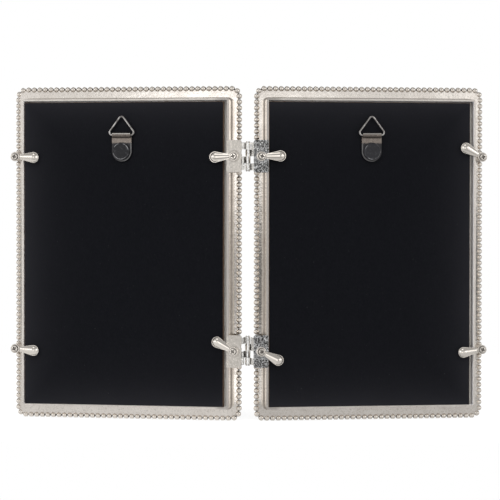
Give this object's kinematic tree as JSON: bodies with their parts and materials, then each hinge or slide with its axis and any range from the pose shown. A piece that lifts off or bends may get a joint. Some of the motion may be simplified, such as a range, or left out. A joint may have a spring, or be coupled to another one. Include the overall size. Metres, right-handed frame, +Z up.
{
  "type": "hinged double photo frame",
  "caption": "Hinged double photo frame: two silver-plated cast leaves with beaded borders, glazed fronts, backing boards held by turn buttons, and ring hangers.",
  "frame": {"origin": "middle of the standing pair's footprint, on the surface it stands on", "axes": "+Z up, +X to the right as seen from the picture side, +Y towards the backs"},
  "size_m": [0.241, 0.0348, 0.1675],
  "materials": {
    "silver_plate": "satin",
    "nickel": "satin",
    "antique_nickel": "satin",
    "black_rivet": "satin",
    "hardboard": "matte",
    "black_paper": "matte",
    "grey_card": "matte",
    "photo_paper": "satin",
    "glass": "polished"
  },
  "bodies": {
    "left_leaf": {"left_frame": "silver_plate", "left_glass": "glass", "left_photo": "photo_paper", "left_filler_card": "grey_card", "left_back_board": "hardboard", "left_board_cover": "black_paper", "left_hanger_strap": "antique_nickel", "left_hanger_rivet": "black_rivet", "left_button_screws": "nickel", "left_upper_hinge_leaf": "nickel", "left_lower_hinge_leaf": "nickel", "upper_hinge_pin": "nickel", "lower_hinge_pin": "nickel"},
    "right_leaf": {"right_frame": "silver_plate", "right_glass": "glass", "right_photo": "photo_paper", "right_filler_card": "grey_card", "right_back_board": "hardboard", "right_board_cover": "black_paper", "right_hanger_strap": "antique_nickel", "right_hanger_rivet": "black_rivet", "right_button_screws": "nickel", "right_upper_hinge_leaf": "nickel", "right_lower_hinge_leaf": "nickel"},
    "left_ring": {"left_hanger_ring": "antique_nickel"},
    "right_ring": {"right_hanger_ring": "antique_nickel"},
    "left_hinge_upper_turn_button": {"left_hinge_upper_button": "nickel"},
    "left_hinge_lower_turn_button": {"left_hinge_lower_button": "nickel"},
    "left_outer_upper_turn_button": {"left_outer_upper_button": "nickel"},
    "left_outer_lower_turn_button": {"left_outer_lower_button": "nickel"},
    "right_hinge_upper_turn_button": {"right_hinge_upper_button": "nickel"},
    "right_hinge_lower_turn_button": {"right_hinge_lower_button": "nickel"},
    "right_outer_upper_turn_button": {"right_outer_upper_button": "nickel"},
    "right_outer_lower_turn_button": {"right_outer_lower_button": "nickel"}
  },
  "joints": [
    {"name": "fold", "type": "hinge", "parent": "left_leaf", "child": "right_leaf", "pos_m": [0, 0.00615, 0], "axis": [0, 0, 1], "range_deg": [-157, 31]},
    {"name": "left_ring_swing", "type": "hinge", "parent": "left_leaf", "child": "left_ring", "pos_m": [-0.062, 0.00394, 0.14295], "axis": [-0.9799, -0.1994, 0], "range_deg": [-3, 157]},
    {"name": "right_ring_swing", "type": "hinge", "parent": "right_leaf", "child": "right_ring", "pos_m": [0.06348, 0.00364, 0.14295], "axis": [-0.9799, 0.1994, 0], "range_deg": [-3, 157]},
    {"name": "left_hinge_upper_turn", "type": "hinge", "parent": "left_leaf", "child": "left_hinge_upper_turn_button", "pos_m": [-0.00682, 0.01486, 0.13225], "axis": [-0.1994, 0.9799, 0], "range_deg": [-91, 89]},
    {"name": "left_hinge_lower_turn", "type": "hinge", "parent": "left_leaf", "child": "left_hinge_lower_turn_button", "pos_m": [-0.00682, 0.01486, 0.03505], "axis": [-0.1994, 0.9799, 0], "range_deg": [-63, 117]},
    {"name": "left_outer_upper_turn", "type": "hinge", "parent": "left_leaf", "child": "left_outer_upper_turn_button", "pos_m": [-0.11795, -0.00775, 0.13225], "axis": [-0.1994, 0.9799, 0], "continuous": true},
    {"name": "left_outer_lower_turn", "type": "hinge", "parent": "left_leaf", "child": "left_outer_lower_turn_button", "pos_m": [-0.11795, -0.00775, 0.03505], "axis": [-0.1994, 0.9799, 0], "continuous": true},
    {"name": "right_hinge_upper_turn", "type": "hinge", "parent": "right_leaf", "child": "right_hinge_upper_turn_button", "pos_m": [0.00682, 0.01486, 0.13225], "axis": [0.1994, 0.9799, 0], "range_deg": [-92.5, 87.5]},
    {"name": "right_hinge_lower_turn", "type": "hinge", "parent": "right_leaf", "child": "right_hinge_lower_turn_button", "pos_m": [0.00682, 0.01486, 0.03505], "axis": [0.1994, 0.9799, 0], "range_deg": [-61, 119]},
    {"name": "right_outer_upper_turn", "type": "hinge", "parent": "right_leaf", "child": "right_outer_upper_turn_button", "pos_m": [0.11795, -0.00775, 0.13225], "axis": [0.1994, 0.9799, 0], "continuous": true},
    {"name": "right_outer_lower_turn", "type": "hinge", "parent": "right_leaf", "child": "right_outer_lower_turn_button", "pos_m": [0.11795, -0.00775, 0.03505], "axis": [0.1994, 0.9799, 0], "continuous": true}
  ]
}
